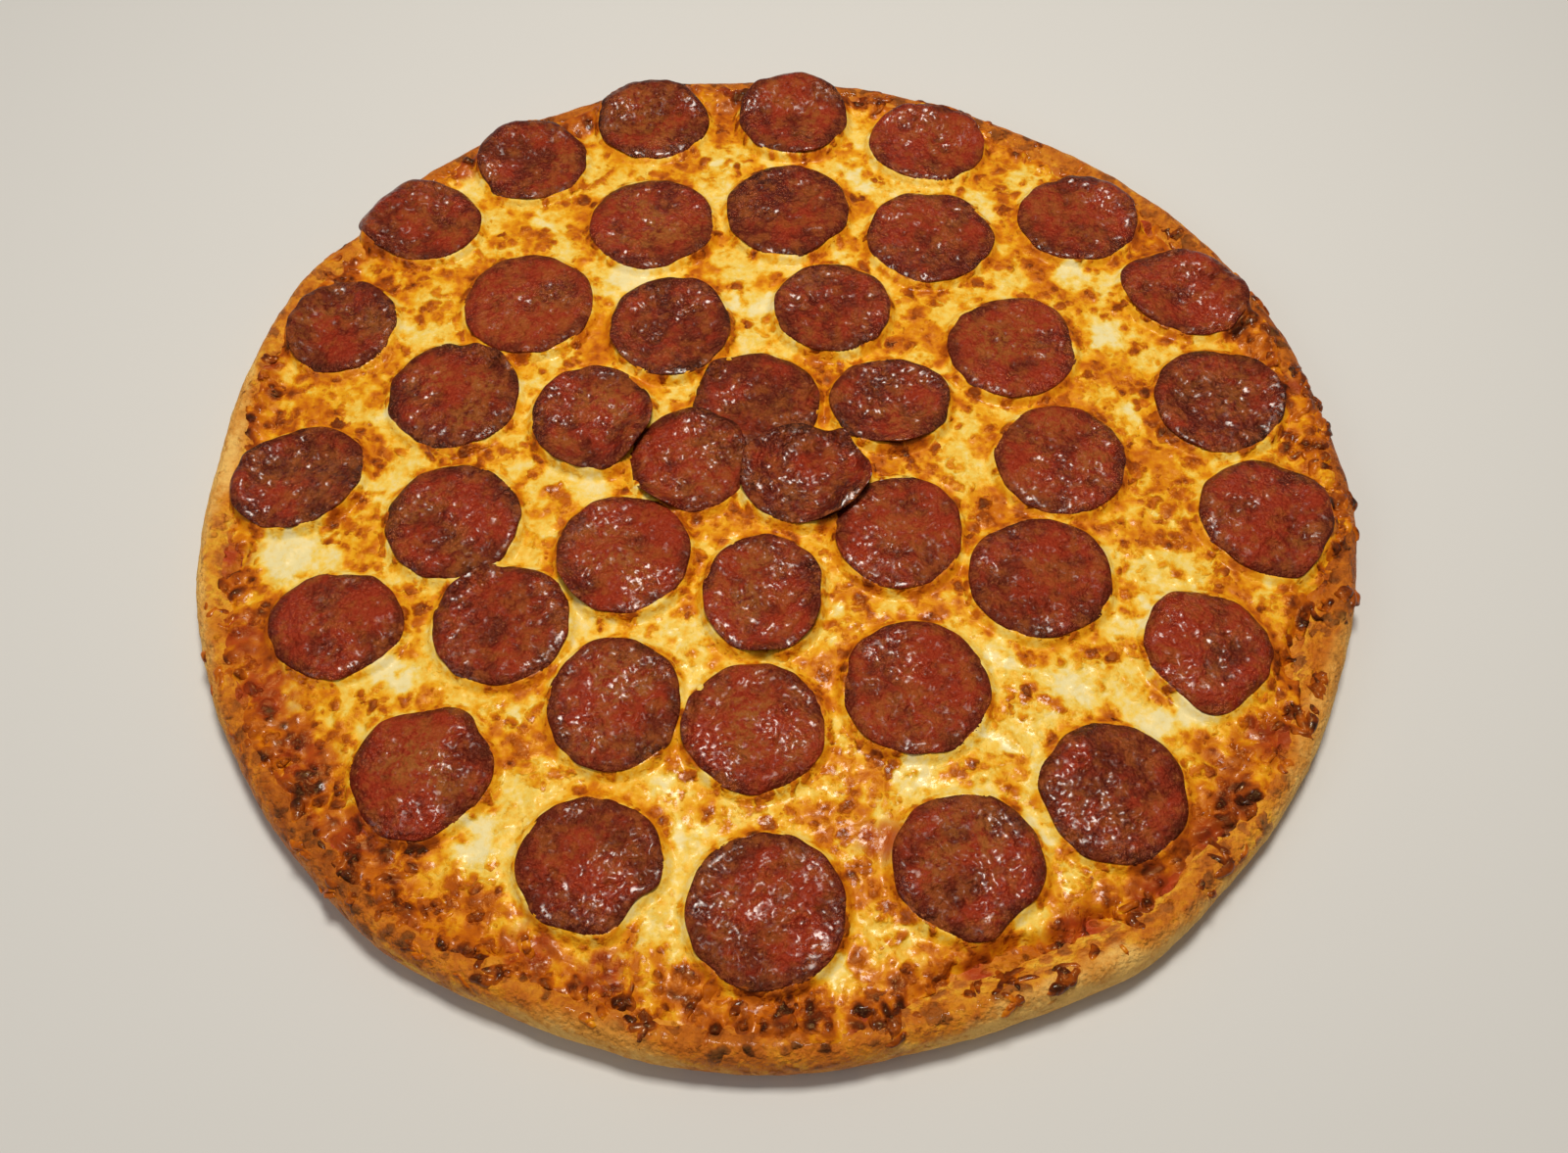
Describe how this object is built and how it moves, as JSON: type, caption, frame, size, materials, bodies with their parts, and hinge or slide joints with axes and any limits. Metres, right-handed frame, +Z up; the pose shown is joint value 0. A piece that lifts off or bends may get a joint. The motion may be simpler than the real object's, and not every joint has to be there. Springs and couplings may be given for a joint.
{
  "type": "pepperoni pizza",
  "caption": "Whole round baked pizza with a low golden rim, tomato sauce and melted cheese, covered with slices of pepperoni laid in rings.",
  "frame": {"origin": "middle of the pizza's outline, on the flat underside", "axes": "+Z straight up out of the topping; +Y away from the viewer of the picture; +X to the viewer's right"},
  "size_m": [0.3592, 0.3594, 0.0205],
  "materials": {
    "crust": "baked golden dough, floury and matte",
    "sauce": "moist tomato sauce, satin",
    "cheese": "melted cheese, oily satin with browned spots",
    "pepperoni": "cured sausage, oily and shiny"
  },
  "bodies": {
    "root": {"cheese": "cheese", "crust": "crust", "pepperoni_centre_01": "pepperoni", "pepperoni_inner_01": "pepperoni", "pepperoni_inner_02": "pepperoni", "pepperoni_inner_03": "pepperoni", "pepperoni_inner_04": "pepperoni", "pepperoni_inner_05": "pepperoni", "pepperoni_inner_06": "pepperoni", "pepperoni_inner_07": "pepperoni", "pepperoni_inner_08": "pepperoni", "pepperoni_inner_09": "pepperoni", "pepperoni_middle_01": "pepperoni", "pepperoni_middle_02": "pepperoni", "pepperoni_middle_03": "pepperoni", "pepperoni_middle_04": "pepperoni", "pepperoni_middle_05": "pepperoni", "pepperoni_middle_06": "pepperoni", "pepperoni_middle_07": "pepperoni", "pepperoni_middle_08": "pepperoni", "pepperoni_middle_09": "pepperoni", "pepperoni_middle_10": "pepperoni", "pepperoni_middle_11": "pepperoni", "pepperoni_middle_12": "pepperoni", "pepperoni_middle_13": "pepperoni", "pepperoni_outer_01": "pepperoni", "pepperoni_outer_02": "pepperoni", "pepperoni_outer_03": "pepperoni", "pepperoni_outer_04": "pepperoni", "pepperoni_outer_05": "pepperoni", "pepperoni_outer_06": "pepperoni", "pepperoni_outer_07": "pepperoni", "pepperoni_outer_08": "pepperoni", "pepperoni_outer_09": "pepperoni", "pepperoni_outer_10": "pepperoni", "pepperoni_outer_11": "pepperoni", "pepperoni_outer_12": "pepperoni", "pepperoni_outer_13": "pepperoni", "pepperoni_outer_14": "pepperoni", "pepperoni_outer_15": "pepperoni", "pepperoni_outer_16": "pepperoni", "pepperoni_outer_17": "pepperoni", "pepperoni_outer_18": "pepperoni", "sauce": "sauce"}
  },
  "joints": []
}
